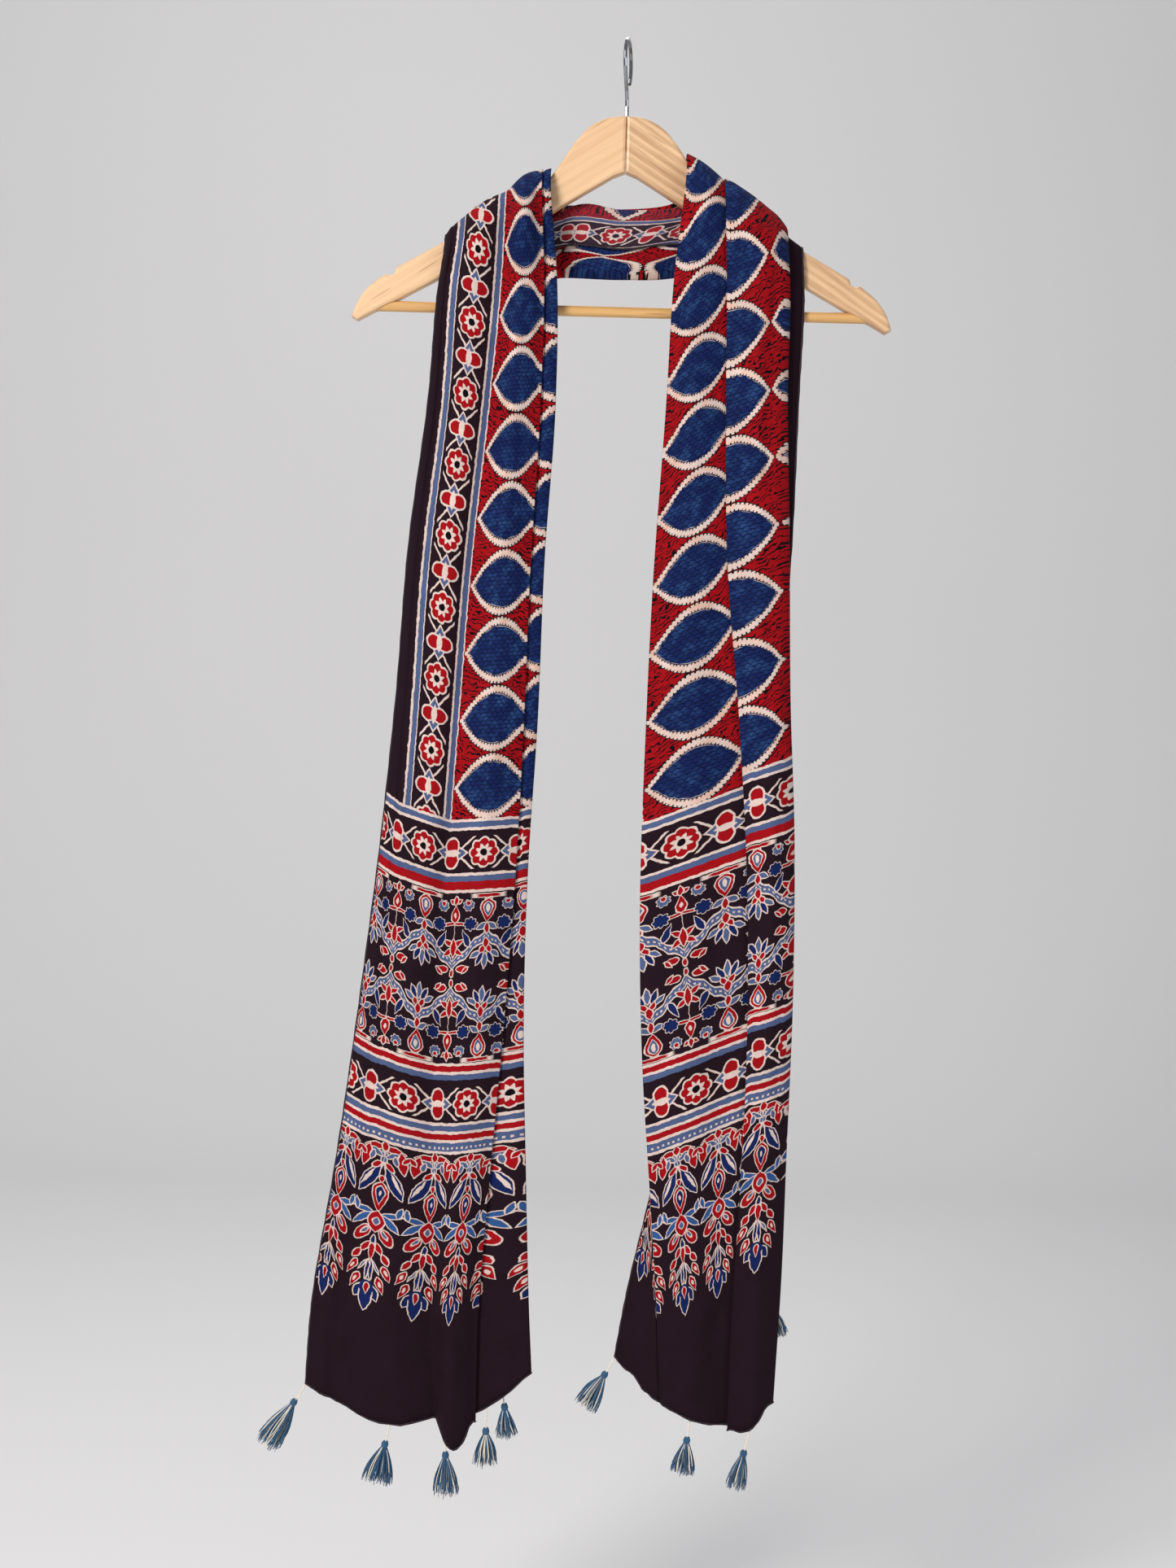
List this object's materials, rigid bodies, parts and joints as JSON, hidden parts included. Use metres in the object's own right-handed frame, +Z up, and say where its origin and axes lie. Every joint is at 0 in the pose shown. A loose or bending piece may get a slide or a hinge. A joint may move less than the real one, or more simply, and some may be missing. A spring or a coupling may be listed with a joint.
{
  "type": "ajrakh cloth on a wooden coat hanger",
  "caption": "Long block-printed cloth stole with tasselled ends, hung like a scarf over a wooden coat hanger with a round bar and a wire hook that swivels.",
  "frame": {"origin": "inside top of the hook, where it rests on a rail", "axes": "+Z up, +X to the viewer's right along the hanger, -Y towards the side where both ends of the cloth hang"},
  "size_m": [0.5034, 0.0659, 1.2128],
  "materials": {
    "hanger_wood": "satin, pale",
    "bar_wood": "satin, honey",
    "hook_metal": "polished",
    "printed_cloth": "fine matt weave, block-printed",
    "tassel_yarn": "soft thread"
  },
  "bodies": {
    "hook": {"hook": "hook_metal"},
    "hanger": {"hanger_arm_left": "hanger_wood", "hanger_arm_right": "hanger_wood", "hanger_bar": "bar_wood", "stole": "printed_cloth", "tassel_l1": "tassel_yarn", "tassel_l2": "tassel_yarn", "tassel_l3": "tassel_yarn", "tassel_l4": "tassel_yarn", "tassel_l5": "tassel_yarn", "tassel_r1": "tassel_yarn", "tassel_r2": "tassel_yarn", "tassel_r3": "tassel_yarn", "tassel_r4": "tassel_yarn"}
  },
  "joints": [
    {"name": "hook_swivel", "type": "hinge", "parent": "hook", "child": "hanger", "pos_m": [0, 0, -0.075], "axis": [0, 0, 1], "continuous": true}
  ]
}
